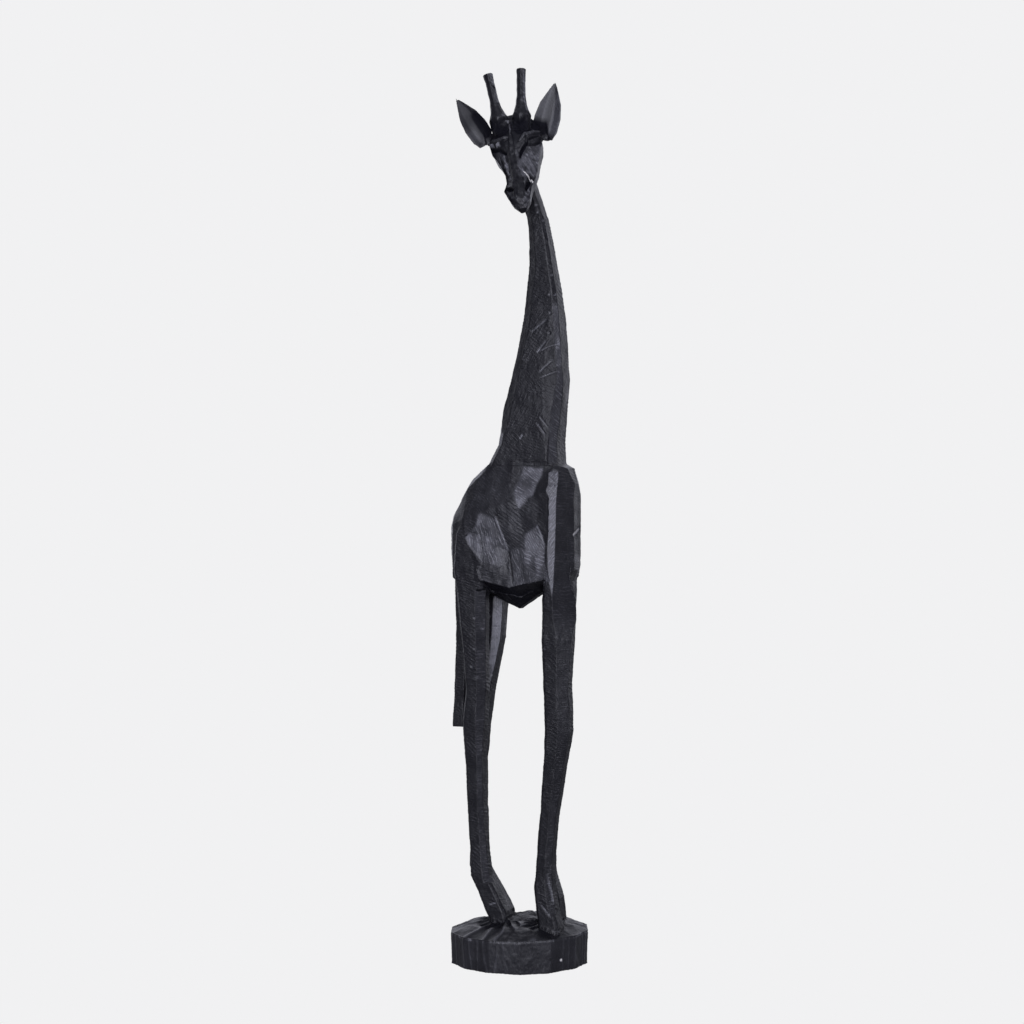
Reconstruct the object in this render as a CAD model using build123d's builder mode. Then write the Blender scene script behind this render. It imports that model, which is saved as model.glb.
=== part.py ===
"""Tall carved wooden giraffe standing on an oval plinth.

The body faces -Y, so the giraffe's right side is at -X, and the head is turned to its right. The
origin is the centre of the plinth's underside, +Z is up and all lengths are in millimetres. Every
billet is faceted, as an adze leaves it. Legs, neck, head, horns, ears and tail are separate pieces
that sit in sockets cut in their neighbours, and hidden dowels pin the larger joints.
"""

from build123d import *
from math import cos, radians, sin
import os

os.makedirs("parts", exist_ok=True)

# ---- driving dimensions ----------------------------------------------------------------------
PLINTH_LENGTH = 159  # long axis of the oval
PLINTH_WIDTH = 142
PLINTH_RIM = 37  # height of the side wall, in the middle of its length
PLINTH_CROWN = 53  # height of the top in the middle
PLINTH_SIDES = 14  # flats that the oval wall is cut with
PLINTH_TURN = 23  # degrees from the body's line to the oval's long axis
PLINTH_TILT = -1.2  # degrees that the top is out of level, high under the front hooves

CHAMFER_SHARE = 0.3  # corner chamfer as a share of a section's smaller half-size

LEG_DOWEL = 8  # diameters
FOOT_DOWEL = 7
FOOT_DOWEL_DOWN = 22  # length in the plinth
FOOT_DOWEL_UP = 11  # length in the hoof
NECK_DOWEL = 10
HEAD_DOWEL = 8
HORN_PEG = 5
EAR_PEG = 4
EAR_PEG_REACH = 15  # from the ear's root towards the skull's centre
TAIL_PEG = 5

HEAD_CENTRE = Vector(-7.8, -0.8, 912)
HEAD_TURN = 76  # degrees from straight ahead towards the giraffe's right
HEAD_DROOP = 55  # degrees that the muzzle points below level
HEAD_ROLL = 11  # degrees that the left ear is lifted

# Leg stations: height, x, y, half width across the body, half length fore and aft. The front legs
# start in the shoulder and the hind legs in the haunch. Each runs down to a hoof.
RIGHT_FRONT = [
    (38, -18.5, -47, 12.5, 13),
    (62, -18, -42, 11.5, 12),
    (89, -17.5, -38, 11, 11),
    (114, -17, -38.5, 10.5, 9.5),
    (167, -17.5, -43.5, 10.5, 9.5),
    (220, -18.5, -50.5, 12, 12),
    (262, -19, -55.5, 13.5, 14.5),
    (313, -19.5, -54, 13.5, 14.5),
    (360, -20.5, -55, 14.5, 17),
    (405, -21, -56.5, 15, 17.5),
    (430, -25, -58, 12, 16),
    (515, -26, -59, 10, 13),
    (546, -22, -54, 8, 9),
]
LEFT_FRONT = [
    (39, 18, -35, 12.5, 12.5),
    (71, 17.5, -33, 11.5, 12),
    (98, 17, -26.5, 10.5, 10.5),
    (134, 17, -26, 10, 9),
    (188, 17.5, -31.5, 11, 9.5),
    (222, 18.5, -36, 12, 12),
    (258, 19, -40, 13.5, 13.5),
    (309, 19.5, -38.5, 13.5, 14),
    (405, 21, -41.5, 14.5, 16),
    (430, 25, -43, 11, 15),
    (515, 26, -44.5, 11, 14),
    (546, 22, -43, 9, 9),
]
RIGHT_HIND = [
    (42, -18, 11, 12.5, 9.5),
    (59, -18, 18, 12.5, 13),
    (82, -17.5, 30, 11.5, 12),
    (96, -17.5, 38, 11.5, 11.5),
    (122, -17, 40.5, 10.5, 10),
    (180, -17.5, 44, 11, 10),
    (226, -18.5, 45, 11.5, 10.5),
    (258, -19.3, 45.5, 12.8, 12.5),
    (271, -19.5, 45, 13, 13),
    (304, -20, 42, 12.5, 11.5),
    (360, -21, 44.5, 13.5, 14),
    (404, -21.5, 46.5, 14.5, 16.5),
    (440, -25, 48, 11.5, 19),
    (478, -25, 48, 9, 17),
    (506, -20, 42, 6, 9),
]
LEFT_HIND = [
    (41, 17, 22, 12.5, 10),
    (55, 17, 29, 12.5, 12.5),
    (71, 16.5, 37.5, 11.5, 12),
    (100, 16.5, 55.5, 11, 11),
    (128, 16.5, 55.5, 10.5, 9.5),
    (174, 16.5, 58, 11, 10),
    (222, 17, 59, 11.5, 10.5),
    (268, 18, 57, 13, 13),
    (306, 18.5, 50, 12.5, 11.5),
    (361, 19.5, 41, 13.5, 13.5),
    (404, 21.5, 41, 14.5, 16),
    (440, 25, 45, 11.5, 19),
    (478, 25, 46, 9, 17),
    (506, 20, 42, 6, 9),
]

# Neck stations: height, x, y, half width, half length.
NECK = [
    (553, 0, -9, 26, 41),
    (577, 0, -15.5, 25, 34.5),
    (595, 0, -17, 24, 33.5),
    (618, 0, -20, 22.5, 33.5),
    (645, 0, -24.5, 21, 31.5),
    (671, 0, -27.5, 19, 28),
    (698, 0, -29, 17.5, 24.5),
    (725, 0, -30, 16, 21.5),
    (752, 0, -29.5, 14.5, 18.5),
    (778, 0, -28, 13.5, 15),
    (805, 0, -26, 12.5, 12.5),
    (828, -0.5, -22.5, 12, 11),
    (855, -2, -13.5, 12, 10.5),
    (890, -5, -3, 11.5, 10.5),
]

# Tail stations: height, x, y, half width, half length.
TAIL = [
    (258, 0, 74, 6.5, 7.5),
    (288, 0, 72.5, 5.5, 7.5),
    (357, 0, 70.5, 5, 7),
    (413, 0, 71, 5, 8),
    (445, 0, 73, 5, 6),
    (475, 0, 73.5, 4, 4.5),
]

# Torso stations: y, half width of the flat back, height of the back, half width of the flanks,
# top and bottom of the flanks, half width of the keel, height of the keel.
TORSO = [
    (-68.5, 8, 533, 15.5, 522, 444, 7, 438),
    (-61, 15, 551, 29, 534, 429, 9, 422),
    (-50, 20, 556, 36, 528, 428, 8, 419),
    (-38, 24, 558, 37, 522, 427, 8, 417),
    (-2, 26, 560, 39, 512, 418, 6, 393),
    (22, 24, 559, 38, 506, 423, 7, 404),
    (37, 20, 553, 37, 500, 427, 8, 412),
    (56, 15, 538, 33, 494, 424, 9, 415),
    (73, 10, 512, 23, 488, 428, 7, 421),
    (80, 6, 494, 11, 485, 460, 6, 455),
]

# Head stations: distance along the muzzle from the skull's centre, offset to the head's left, half
# width, height of the face above the axis, depth of the jaw below it.
HEAD = [
    (-32, 0, 10, 10, -8),
    (-25, 0, 21, 23, -18),
    (-10, 0, 28, 29, -24),
    (5, 0, 30, 27, -25),
    (18, 0.5, 28.5, 22, -24),
    (32, 1.5, 23, 17, -22),
    (50, 2.5, 18.5, 14, -19),
    (63, 1, 16.5, 13, -15),
    (74, -3.2, 16, 13.5, -14),
    (92, -2, 10.5, 9, -12.5),
    (100, -1.5, 5, 1.5, -8),
]

# Horns, by the giraffe's own side: foot of the horn, tip of the horn.
RIGHT_HORN = (Vector(-22.5, 11.5, 922), Vector(-21.8, 29.2, 990))
LEFT_HORN = (Vector(-21, -11, 924), Vector(-10.8, -6.4, 995))
HORN_PROFILE = [(0, 10.8), (0.25, 11.5), (0.33, 9), (0.42, 7.1), (0.56, 5.7), (0.85, 5.6), (1, 6.3)]

# Ears: root, tip, half width of the leaf.
RIGHT_EAR = (Vector(-19.2, 31, 913.5), Vector(-24.7, 67.3, 966.5), 14)
LEFT_EAR = (Vector(2.8, -26.5, 918), Vector(11.1, -38.9, 983), 15.8)
EAR_PROFILE = [(0, 0.74), (0.15, 0.96), (0.38, 1), (0.62, 0.82), (0.86, 0.36), (1, 0.05)]
EAR_WALL = 3.2
EAR_CUP = 7  # depth of the fold, at the widest place of the left ear
EAR_RIM = 1.6  # thickness of the edge there


# ---- geometry helpers ------------------------------------------------------------------------
def head_frame():
    """Plane at the skull's centre: local x to the head's left, y out of its face, z to the muzzle."""
    turn, droop = radians(HEAD_TURN), radians(HEAD_DROOP)
    heading = Vector(-sin(turn), -cos(turn), 0)
    left = Vector(cos(turn), -sin(turn), 0)
    forward = heading * cos(droop) - Vector(0, 0, 1) * sin(droop)
    roll = Axis((0, 0, 0), heading)
    return Plane(HEAD_CENTRE, x_dir=left.rotate(roll, HEAD_ROLL), z_dir=forward.rotate(roll, HEAD_ROLL))


def across(foot, tip, share, side):
    """Plane square to the line from foot to tip, at a share of its length, with local x to side."""
    run = tip - foot
    square = side - run * (side.dot(run) / run.dot(run))
    return Plane(foot + run * share, x_dir=square, z_dir=run)


def torso_outline(back, top, flank, high, low, keel, bottom):
    """Eight corners of a torso section, from the back down the left flank and round the keel."""
    half = [(back, top), (flank, high), (flank, low), (keel, bottom)]
    return half + [(-x, z) for x, z in reversed(half)]


def head_outline(aside, width, face, jaw):
    """Eight corners of a head section, with sloping brows and a narrower jaw."""
    half = [(width * 0.4, face), (width, face * 0.45), (width * 0.92, jaw * 0.45), (width * 0.5, jaw)]
    return [(aside + x, y) for x, y in half] + [(aside - x, y) for x, y in reversed(half)]


def ear_outline(half_width):
    """Eight corners of a folded leaf, hollow towards local -y, which is the way the face looks."""
    size = half_width / LEFT_EAR[2]
    cup = EAR_CUP * size
    floor = cup - min(EAR_WALL, cup * 0.6)
    half = [(half_width * 0.9, 0), (half_width, EAR_RIM * size), (half_width * 0.45, cup)]
    inner = [(-half_width * 0.4, floor), (half_width * 0.4, floor)]
    return half + [(-x, y) for x, y in reversed(half)] + inner


def billet(stations):
    """Ruled octagonal shaft through level sections, which is what a faceted limb is."""
    with BuildPart() as shaft:
        for height, x, y, half_width, half_length in stations:
            with BuildSketch(Plane.XY.offset(height)) as section:
                with Locations((x, y)):
                    Rectangle(2 * half_width, 2 * half_length)
                chamfer(section.vertices(), CHAMFER_SHARE * min(half_width, half_length))
        loft(ruled=True)
    return shaft.part


def pin(start, end, diameter):
    """Round dowel from start to end."""
    run = end - start
    with BuildPart() as rod:
        with BuildSketch(Plane(start, z_dir=run)):
            Circle(diameter / 2)
        extrude(amount=run.length)
    return rod.part


# ---- dowels: hidden, one node for each kind ---------------------------------------------------
def leg_pin(side, y, height):
    """Level dowel from inside the leg's head into the torso."""
    return pin(Vector(side * 26, y, height), Vector(side * 3, y, height), LEG_DOWEL)


with BuildPart() as leg_dowels:
    add(leg_pin(-1, -53, 490))
    add(leg_pin(1, -44, 480))
    add(leg_pin(-1, 48, 462))
    add(leg_pin(1, 46, 462))

with BuildPart() as foot_dowels:
    for foot in (RIGHT_FRONT, LEFT_FRONT, RIGHT_HIND, LEFT_HIND):
        height, x, y = foot[0][:3]
        add(pin(Vector(x, y, height - FOOT_DOWEL_DOWN), Vector(x, y, height + FOOT_DOWEL_UP), FOOT_DOWEL))

with BuildPart() as neck_dowels:
    for y in (-27, 9):
        add(pin(Vector(0, y, 522), Vector(0, y, 586), NECK_DOWEL))

with BuildPart() as head_dowel:
    add(pin(Vector(-2.5, -11, 868), Vector(-8, 0, 918), HEAD_DOWEL))

# ---- legs ------------------------------------------------------------------------------------
with BuildPart() as right_front_leg:
    add(billet(RIGHT_FRONT))
    add([leg_dowels.part, foot_dowels.part], mode=Mode.SUBTRACT)

with BuildPart() as left_front_leg:
    add(billet(LEFT_FRONT))
    add([leg_dowels.part, foot_dowels.part], mode=Mode.SUBTRACT)

with BuildPart() as right_hind_leg:
    add(billet(RIGHT_HIND))
    add([leg_dowels.part, foot_dowels.part], mode=Mode.SUBTRACT)

with BuildPart() as left_hind_leg:
    add(billet(LEFT_HIND))
    add([leg_dowels.part, foot_dowels.part], mode=Mode.SUBTRACT)

legs = [right_front_leg.part, left_front_leg.part, right_hind_leg.part, left_hind_leg.part]

# ---- plinth: faceted oval with a crowned top, recessed for the hooves --------------------------
with BuildPart() as plinth:
    shoulder = (PLINTH_RIM + PLINTH_CROWN) / 2
    rings = [(PLINTH_RIM - 3, 1), (PLINTH_RIM, 0.98), (shoulder, 0.74), (PLINTH_CROWN, 0.36)]
    sole = Plane.XY.rotated((0, 0, PLINTH_TURN))
    for level, share in [(sole, 0.985)] + [
        (sole.offset(height).rotated((PLINTH_TILT, 0, 0)), share) for height, share in rings
    ]:
        with BuildSketch(level):
            RegularPolygon(PLINTH_WIDTH * share / 2, PLINTH_SIDES)
            scale(by=(1, PLINTH_LENGTH / PLINTH_WIDTH, 1))
    loft(ruled=True)
    add(legs + [foot_dowels.part], mode=Mode.SUBTRACT)

# ---- tail: hangs from a peg in the rump --------------------------------------------------------
with BuildPart() as tail:
    add(billet(TAIL))
    add(pin(Vector(0, 78, 462), Vector(0, 60, 462), TAIL_PEG))

# ---- neck ------------------------------------------------------------------------------------
with BuildPart() as neck:
    add(billet(NECK))
    add([neck_dowels.part, head_dowel.part], mode=Mode.SUBTRACT)

# ---- torso: housed for the leg heads and the neck, drilled for the dowels and the tail peg ------
with BuildPart() as torso:
    for y, *corners in TORSO:
        with BuildSketch(Plane((0, y, 0), x_dir=(1, 0, 0), z_dir=(0, -1, 0))):
            Polygon(*torso_outline(*corners), align=None)
    loft(ruled=True)
    add(legs + [tail.part, neck.part], mode=Mode.SUBTRACT)
    add([leg_dowels.part, neck_dowels.part], mode=Mode.SUBTRACT)

# ---- horns and ears, each with its own peg ------------------------------------------------------
skull = head_frame()


def horn(foot, tip):
    """Round-cornered horn that flares into the skull and has a peg below."""
    run = tip - foot
    with BuildPart() as body:
        for share, radius in HORN_PROFILE:
            with BuildSketch(across(foot, tip, share, skull.x_dir)):
                RegularPolygon(radius, 8)
        loft(ruled=True)
        add(pin(foot - run * 0.15, foot, HORN_PEG))
    return body.part


def ear(root, tip, half_width, side):
    """Cupped leaf from root to tip, with a peg at its root."""
    inward = (HEAD_CENTRE - root).normalized()
    heel = root + across(root, tip, 0, side).y_dir * (EAR_CUP / 2)
    with BuildPart() as leaf:
        for share, width in EAR_PROFILE:
            with BuildSketch(across(root, tip, share, side)):
                Polygon(*ear_outline(half_width * width), align=None)
        loft(ruled=True)
        add(pin(heel, heel + inward * EAR_PEG_REACH, EAR_PEG))
    return leaf.part


with BuildPart() as right_horn:
    add(horn(*RIGHT_HORN))

with BuildPart() as left_horn:
    add(horn(*LEFT_HORN))

with BuildPart() as right_ear:
    add(ear(*RIGHT_EAR, skull.x_dir))

with BuildPart() as left_ear:
    add(ear(*LEFT_EAR, skull.x_dir))

# ---- head ------------------------------------------------------------------------------------
with BuildPart() as head:
    for along, *outline in HEAD:
        with BuildSketch(skull.offset(along)):
            Polygon(*head_outline(*outline), align=None)
    loft(ruled=True)
    add([neck.part, head_dowel.part], mode=Mode.SUBTRACT)
    add([right_horn.part, left_horn.part, right_ear.part, left_ear.part], mode=Mode.SUBTRACT)

# ---- labels and files --------------------------------------------------------------------------
plinth.part.label = "plinth"
right_front_leg.part.label = "right_front_leg"
left_front_leg.part.label = "left_front_leg"
right_hind_leg.part.label = "right_hind_leg"
left_hind_leg.part.label = "left_hind_leg"
torso.part.label = "torso"
neck.part.label = "neck"
head.part.label = "head"
right_horn.part.label = "right_horn"
left_horn.part.label = "left_horn"
right_ear.part.label = "right_ear"
left_ear.part.label = "left_ear"
tail.part.label = "tail"
leg_dowels.part.label = "leg_dowels"
foot_dowels.part.label = "foot_dowels"
neck_dowels.part.label = "neck_dowels"
head_dowel.part.label = "head_dowel"

export_step(plinth.part, "parts/plinth.step")
export_step(right_front_leg.part, "parts/right_front_leg.step")
export_step(left_front_leg.part, "parts/left_front_leg.step")
export_step(right_hind_leg.part, "parts/right_hind_leg.step")
export_step(left_hind_leg.part, "parts/left_hind_leg.step")
export_step(torso.part, "parts/torso.step")
export_step(neck.part, "parts/neck.step")
export_step(head.part, "parts/head.step")
export_step(right_horn.part, "parts/right_horn.step")
export_step(left_horn.part, "parts/left_horn.step")
export_step(right_ear.part, "parts/right_ear.step")
export_step(left_ear.part, "parts/left_ear.step")
export_step(tail.part, "parts/tail.step")
export_step(leg_dowels.part, "parts/leg_dowels.step")
export_step(foot_dowels.part, "parts/foot_dowels.step")
export_step(neck_dowels.part, "parts/neck_dowels.step")
export_step(head_dowel.part, "parts/head_dowel.step")
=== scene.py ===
"""Tall carved wooden giraffe on an oval plinth, in black stained wood.

The CAD solids are the billets before the last carving. Their outer faces are gathered into one fine
skin, the skin is carved with flats, gouges and chips, and each carved piece is the part of the
carved block that lies inside its own billet, so that every joint and dowel hole stays as in the CAD.
Lengths are in millimetres until a mesh is written back. The giraffe faces -Y and its right side,
which the camera sees, is at -X.
"""

import math

import bmesh
import bpy
import numpy as np
from mathutils import Matrix, Vector
from mathutils.geometry import tessellate_polygon


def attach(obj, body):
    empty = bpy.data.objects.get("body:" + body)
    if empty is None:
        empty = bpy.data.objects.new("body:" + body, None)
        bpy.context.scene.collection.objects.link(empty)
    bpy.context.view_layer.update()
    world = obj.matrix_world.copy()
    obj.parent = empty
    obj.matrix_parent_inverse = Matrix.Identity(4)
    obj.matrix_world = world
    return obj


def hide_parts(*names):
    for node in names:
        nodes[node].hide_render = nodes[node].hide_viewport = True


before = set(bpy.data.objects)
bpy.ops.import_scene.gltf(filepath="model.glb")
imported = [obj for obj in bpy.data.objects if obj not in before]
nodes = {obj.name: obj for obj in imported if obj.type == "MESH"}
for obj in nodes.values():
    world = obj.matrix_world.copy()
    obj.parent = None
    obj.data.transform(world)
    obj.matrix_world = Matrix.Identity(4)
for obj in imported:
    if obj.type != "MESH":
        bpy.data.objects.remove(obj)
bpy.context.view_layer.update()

MM = 0.001
BODY = [
    "plinth",
    "right_front_leg",
    "left_front_leg",
    "right_hind_leg",
    "left_hind_leg",
    "torso",
    "neck",
    "tail",
]
TOP = ["head", "right_horn", "left_horn", "right_ear", "left_ear"]
DOWELS = ["leg_dowels", "foot_dowels", "neck_dowels", "head_dowel"]
BODY_VOXEL = 0.9
TOP_VOXEL = 0.55
SKIN_INSET = 0.25  # every carved face lies at least this far inside its billet
RASP_TOOTH = 0.6  # usual strength of the rasp marks
UNSET_LAY = 45.0  # lean of the rasp marks in degrees, where no tool pass has set it

CAMERA_AZIMUTH = -67
CAMERA_DISTANCE = 2100
CAMERA_HEIGHT = 502
CAMERA_ASIDE = -8.4
CAMERA_LENS = 65.92
CAMERA_SENSOR = 36


# ---- small maths -----------------------------------------------------------------------------
def smooth(low, high, value):
    """Smoothstep that also falls when low is above high."""
    t = np.clip((value - low) / (high - low), 0, 1)
    return t * t * (3 - 2 * t)


def band(value, rise, fall):
    """1 between two soft borders: from 0 to 1 over the first pair, back to 0 over the second."""
    return smooth(*rise, value) * smooth(*fall, value)


def heading(azimuth):
    """Level direction: azimuth 0 is the way the giraffe's body faces, -90 is its right side."""
    a = math.radians(azimuth)
    return np.array([math.sin(a), -math.cos(a), 0.0])


def lattice(cell, seed):
    """Repeatable random number from 0 to 1 for each whole-number cell."""
    h = (cell[:, 0] * 73856093) ^ (cell[:, 1] * 19349663) ^ (cell[:, 2] * 83492791) ^ (seed * 2654435)
    h = (h ^ (h >> 13)) * 1274126177 & 0xFFFFFFFF
    return ((h ^ (h >> 16)) & 0xFFFF) / 65535.0


def noise(points, size, seed):
    """Smooth noise from -1 to 1 with features of about this size."""
    q = points / size
    base = np.floor(q).astype(np.int64)
    f = q - base
    f = f * f * (3 - 2 * f)
    total = np.zeros(len(points))
    for dx in (0, 1):
        for dy in (0, 1):
            for dz in (0, 1):
                share = np.abs(1 - dx - f[:, 0]) * np.abs(1 - dy - f[:, 1]) * np.abs(1 - dz - f[:, 2])
                total += share * lattice(base + np.array([dx, dy, dz]), seed)
    return total * 2 - 1


def to_line(points, line):
    """Distance of 2-D points from a polyline, and how far along it the nearest place is, 0 to 1."""
    best = np.full(len(points), 1e9)
    along = np.zeros(len(points))
    line = np.asarray(line, float)
    steps = np.linalg.norm(np.diff(line, axis=0), axis=1)
    start, total = 0.0, steps.sum()
    for a, b, step in zip(line[:-1], line[1:], steps):
        t = np.clip(((points - a) @ (b - a)) / (step * step), 0, 1)
        d = np.linalg.norm(points - (a + t[:, None] * (b - a)), axis=1)
        near = d < best
        best = np.where(near, d, best)
        along = np.where(near, (start + t * step) / total, along)
        start += step
    return best, along


def between(stations, z):
    """Values of each column of a table at heights z. The first column is the height."""
    table = np.array(sorted(stations), float)
    return [np.interp(z, table[:, 0], table[:, i]) for i in range(1, table.shape[1])]


# ---- blocks being carved -----------------------------------------------------------------------
def welded(names):
    """One mesh of copies of the named CAD nodes, each closed by joining its split corners."""
    whole = bmesh.new()
    for name in names:
        one = bmesh.new()
        one.from_mesh(nodes[name].data)
        bmesh.ops.remove_doubles(one, verts=one.verts, dist=1e-6)
        mesh = bpy.data.meshes.new("billet")
        one.to_mesh(mesh)
        one.free()
        whole.from_mesh(mesh)
        bpy.data.meshes.remove(mesh)
    mesh = bpy.data.meshes.new("billets")
    whole.to_mesh(mesh)
    whole.free()
    mesh.materials.clear()
    return mesh


def new_object(name, data):
    """An object in the scene, for a mesh or other data."""
    ob = bpy.data.objects.new(name, data)
    bpy.context.scene.collection.objects.link(ob)
    return ob


def settle(ob):
    """Replaces an object's mesh by its modified one."""
    graph = bpy.context.evaluated_depsgraph_get()
    graph.update()
    mesh = bpy.data.meshes.new_from_object(ob.evaluated_get(graph))
    ob.modifiers.clear()
    ob.data = mesh


class Block:
    """The outer skin of some billets, as arrays that the carving moves.

    Each point has a value of rubbed stain and painted light (0 for full stain, higher where the stain is
    rubbed and where a highlight is painted, lower where it is blacker and where shade is painted),
    a lay (how far the rasp marks lean from upright, in degrees) and a tooth (how strong they are)."""

    def __init__(self, name, names, voxel):
        self.ob = new_object(name, welded(names))
        remesh = self.ob.modifiers.new("skin", "REMESH")
        remesh.mode = "VOXEL"
        remesh.voxel_size = voxel * MM
        settle(self.ob)
        mesh = self.ob.data
        self.count = len(mesh.vertices)
        co = np.empty(self.count * 3)
        mesh.vertices.foreach_get("co", co)
        self.co = co.reshape(-1, 3) / MM
        ends = np.empty(len(mesh.edges) * 2, np.int64)
        mesh.edges.foreach_get("vertices", ends)
        self.ends = ends.reshape(-1, 2)
        self.degree = np.maximum(np.bincount(self.ends.ravel(), minlength=self.count), 1)
        self.wear_and_painted_light = np.zeros(self.count)
        self.lay = np.full(self.count, UNSET_LAY)
        self.tooth = np.full(self.count, RASP_TOOTH)
        self.read_normals()

    def read_normals(self):
        """Works the normals out again from where the points are now."""
        mesh = self.ob.data
        mesh.vertices.foreach_set("co", (self.co * MM).ravel())
        mesh.update()
        no = np.empty(self.count * 3, np.float32)
        mesh.vertex_normals.foreach_get("vector", no)
        self.no = no.reshape(-1, 3).astype(float)

    def relax(self, times, share=0.5, pick=None):
        """Moves points towards the mean of their neighbours."""
        a, b = self.ends[:, 0], self.ends[:, 1]
        for _ in range(times):
            mean = np.empty_like(self.co)
            for k in range(3):
                mean[:, k] = np.bincount(a, self.co[b, k], self.count)
                mean[:, k] += np.bincount(b, self.co[a, k], self.count)
            mean /= self.degree[:, None]
            step = share * (mean - self.co)
            if pick is not None:
                step *= pick[:, None]
            self.co += step

    def blur(self, values, times):
        """Evens out one value per point with that of its neighbours."""
        a, b = self.ends[:, 0], self.ends[:, 1]
        for _ in range(times):
            mean = np.bincount(a, values[b], self.count) + np.bincount(b, values[a], self.count)
            values = 0.5 * values + 0.5 * mean / self.degree
        return values

    def cut(self, depth):
        """Takes wood off along the normals."""
        self.co -= self.no * depth[:, None]

    def bevel(self, stations, reach, wear_and_painted_light, lay=None):
        """Planes the wood off along an upright limb, back to a plane that turns with the height.

        Stations are height, x and y of a point on the plane and the azimuth of its normal. Only
        wood within reach of that point is cut, and it gets the lay that is given and the given value
        of rubbed stain and painted light, which paints a highlight on the face above zero and shade below."""
        low, high = min(s[0] for s in stations), max(s[0] for s in stations)
        z = self.co[:, 2]
        x, y, azimuth = between(stations, z)
        a = np.radians(azimuth)
        nx, ny = np.sin(a), -np.cos(a)
        dx, dy = self.co[:, 0] - x, self.co[:, 1] - y
        over = dx * nx + dy * ny
        pick = (z >= low) & (z <= high) & (over > 0) & (np.hypot(dx, dy) < reach)
        over = np.where(pick, over, 0)
        self.co[:, 0] -= over * nx
        self.co[:, 1] -= over * ny
        self.wear_and_painted_light += (wear_and_painted_light - self.wear_and_painted_light) * smooth(0.1, 0.6, over)
        if lay is not None:
            self.lay[over > 0.3] = lay

    def pieces(self, names):
        """The part of the carved block inside each billet, as an object that stands for it."""
        mesh = self.ob.data
        mesh.vertices.foreach_set("co", (self.co * MM).ravel())
        looks = {"wear_and_painted_light": self.wear_and_painted_light, "lay": np.radians(self.lay), "tooth": self.tooth}
        for key, values in looks.items():
            attribute = mesh.attributes.new(key, "FLOAT", "POINT")
            attribute.data.foreach_set("value", values.astype(np.float32))
        mesh.update()
        made = []
        for name in names:
            piece = new_object("carved_" + name, welded([name]))
            cut = piece.modifiers.new("carve", "BOOLEAN")
            cut.operation = "INTERSECT"
            cut.solver = "MANIFOLD"
            cut.object = self.ob
            settle(piece)
            made.append(piece)
        bpy.data.objects.remove(self.ob)
        return made


# ---- body: legs, torso, neck, tail and plinth ----------------------------------------------------
# Planed faces of the limbs: height, x, y, azimuth of the face. They follow the hand-cut facets.
NECK_FRONT = [
    (560, -27, -36, -77),
    (587, -24.5, -37, -77),
    (645, -21, -34, -78),
    (680, -19, -34, -79),
    (700, -17.5, -38, -80),
    (741, -15.5, -42, -82),
    (800, -12.5, -40, -82),
    (850, -13, -25, -82),
]
NECK_EDGE = [
    (556, -12, -48.5, -20),
    (600, -12, -48.6, -20),
    (640, -12, -53.2, -22),
    (662, -12, -54.2, -24),
]
NECK_LIT_EDGE = [
    (662, -12, -54.5, -44),
    (700, -11, -53, -46),
    (741, -9, -51, -46),
    (768, -9, -47, -44),
]
NECK_HIGH_EDGE = [
    (768, -9, -47, -36),
    (790, -8, -42, -36),
    (830, -8, -32, -36),
]
NECK_BACK = [
    (590, -24, 8, -124),
    (604, -23.5, 4, -124),
    (632, -21.5, -2, -124),
    (669, -19, -10, -124),
    (724, -16, -20, -124),
    (779, -13.5, -25, -124),
    (819, -12.5, -22, -124),
    (850, -13, -14, -124),
]
SHOULDER_STRIP = [
    (404, -38.5, -50, -61),
    (425, -37, -49, -61),
    (458, -36.2, -48, -61),
    (516, -36.2, -48, -61),
    (530, -33, -48, -61),
    (554, -24, -45, -61),
]
SHOULDER_FRONT = [
    (362, -35, -58, -50),
    (385, -36, -54, -38),
    (413, -35, -54, -28),
    (458, -32, -55.5, -25),
    (516, -31, -57, -25),
    (530, -28, -57, -25),
    (556, -17, -55, -25),
]
RIGHT_FRONT_SHIN = [
    (60, -30, -46, -48),
    (89, -28, -42, -48),
    (120, -27, -42, -48),
    (167, -27.5, -47, -48),
    (220, -30, -54, -48),
    (262, -32, -59, -48),
    (313, -33, -57, -50),
    (362, -35, -58, -50),
]
RIGHT_HIND_FACE = [
    (90, -29, 32, -40),
    (122, -27, 36, -40),
    (180, -28, 39, -40),
    (258, -31.5, 40, -40),
    (304, -32, 38, -38),
    (360, -33, 38, -36),
    (415, -35, 38, -36),
]
LEFT_HIND_INNER = [
    (75, 5, 32, -62),
    (128, 6.5, 52, -62),
    (222, 5.5, 56, -62),
    (306, 6, 45, -62),
    (361, 6.5, 37, -62),
    (420, 7, 36, -62),
]

# Top edge of the flanks: y, then x and z.
BACK_EDGE = [(-2, 26, 560), (22, 24, 559), (37, 20, 553), (56, 15, 538), (73, 10, 512), (80, 6, 494)]
CHAMFER_OUT, CHAMFER_UP = 0.64, 0.77  # the way the chamfer faces
CHAMFER_DEPTH = 5.0  # taken off the edge

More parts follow.
